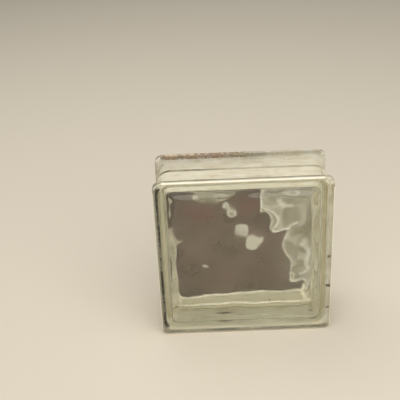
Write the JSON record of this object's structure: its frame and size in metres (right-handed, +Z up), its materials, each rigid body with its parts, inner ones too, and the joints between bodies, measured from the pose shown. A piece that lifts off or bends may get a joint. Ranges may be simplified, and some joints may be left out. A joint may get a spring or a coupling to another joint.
{
  "type": "glass block",
  "caption": "Square hollow glass block with rippled clear faces, proud rims and mortar keyways round its edge.",
  "frame": {"origin": "on the floor under the centre of the block, which stands upright on the two lower rims", "axes": "+Z up, +Y from the front face to the back face, +X to the right seen from the front"},
  "size_m": [0.197, 0.079, 0.197],
  "materials": {
    "pressed_glass": "clear soda-lime glass, fire-polished outside and rippled inside, with a chalky cream coating on the mortar edges"
  },
  "bodies": {
    "root": {"glass_block": "pressed_glass"}
  },
  "joints": []
}
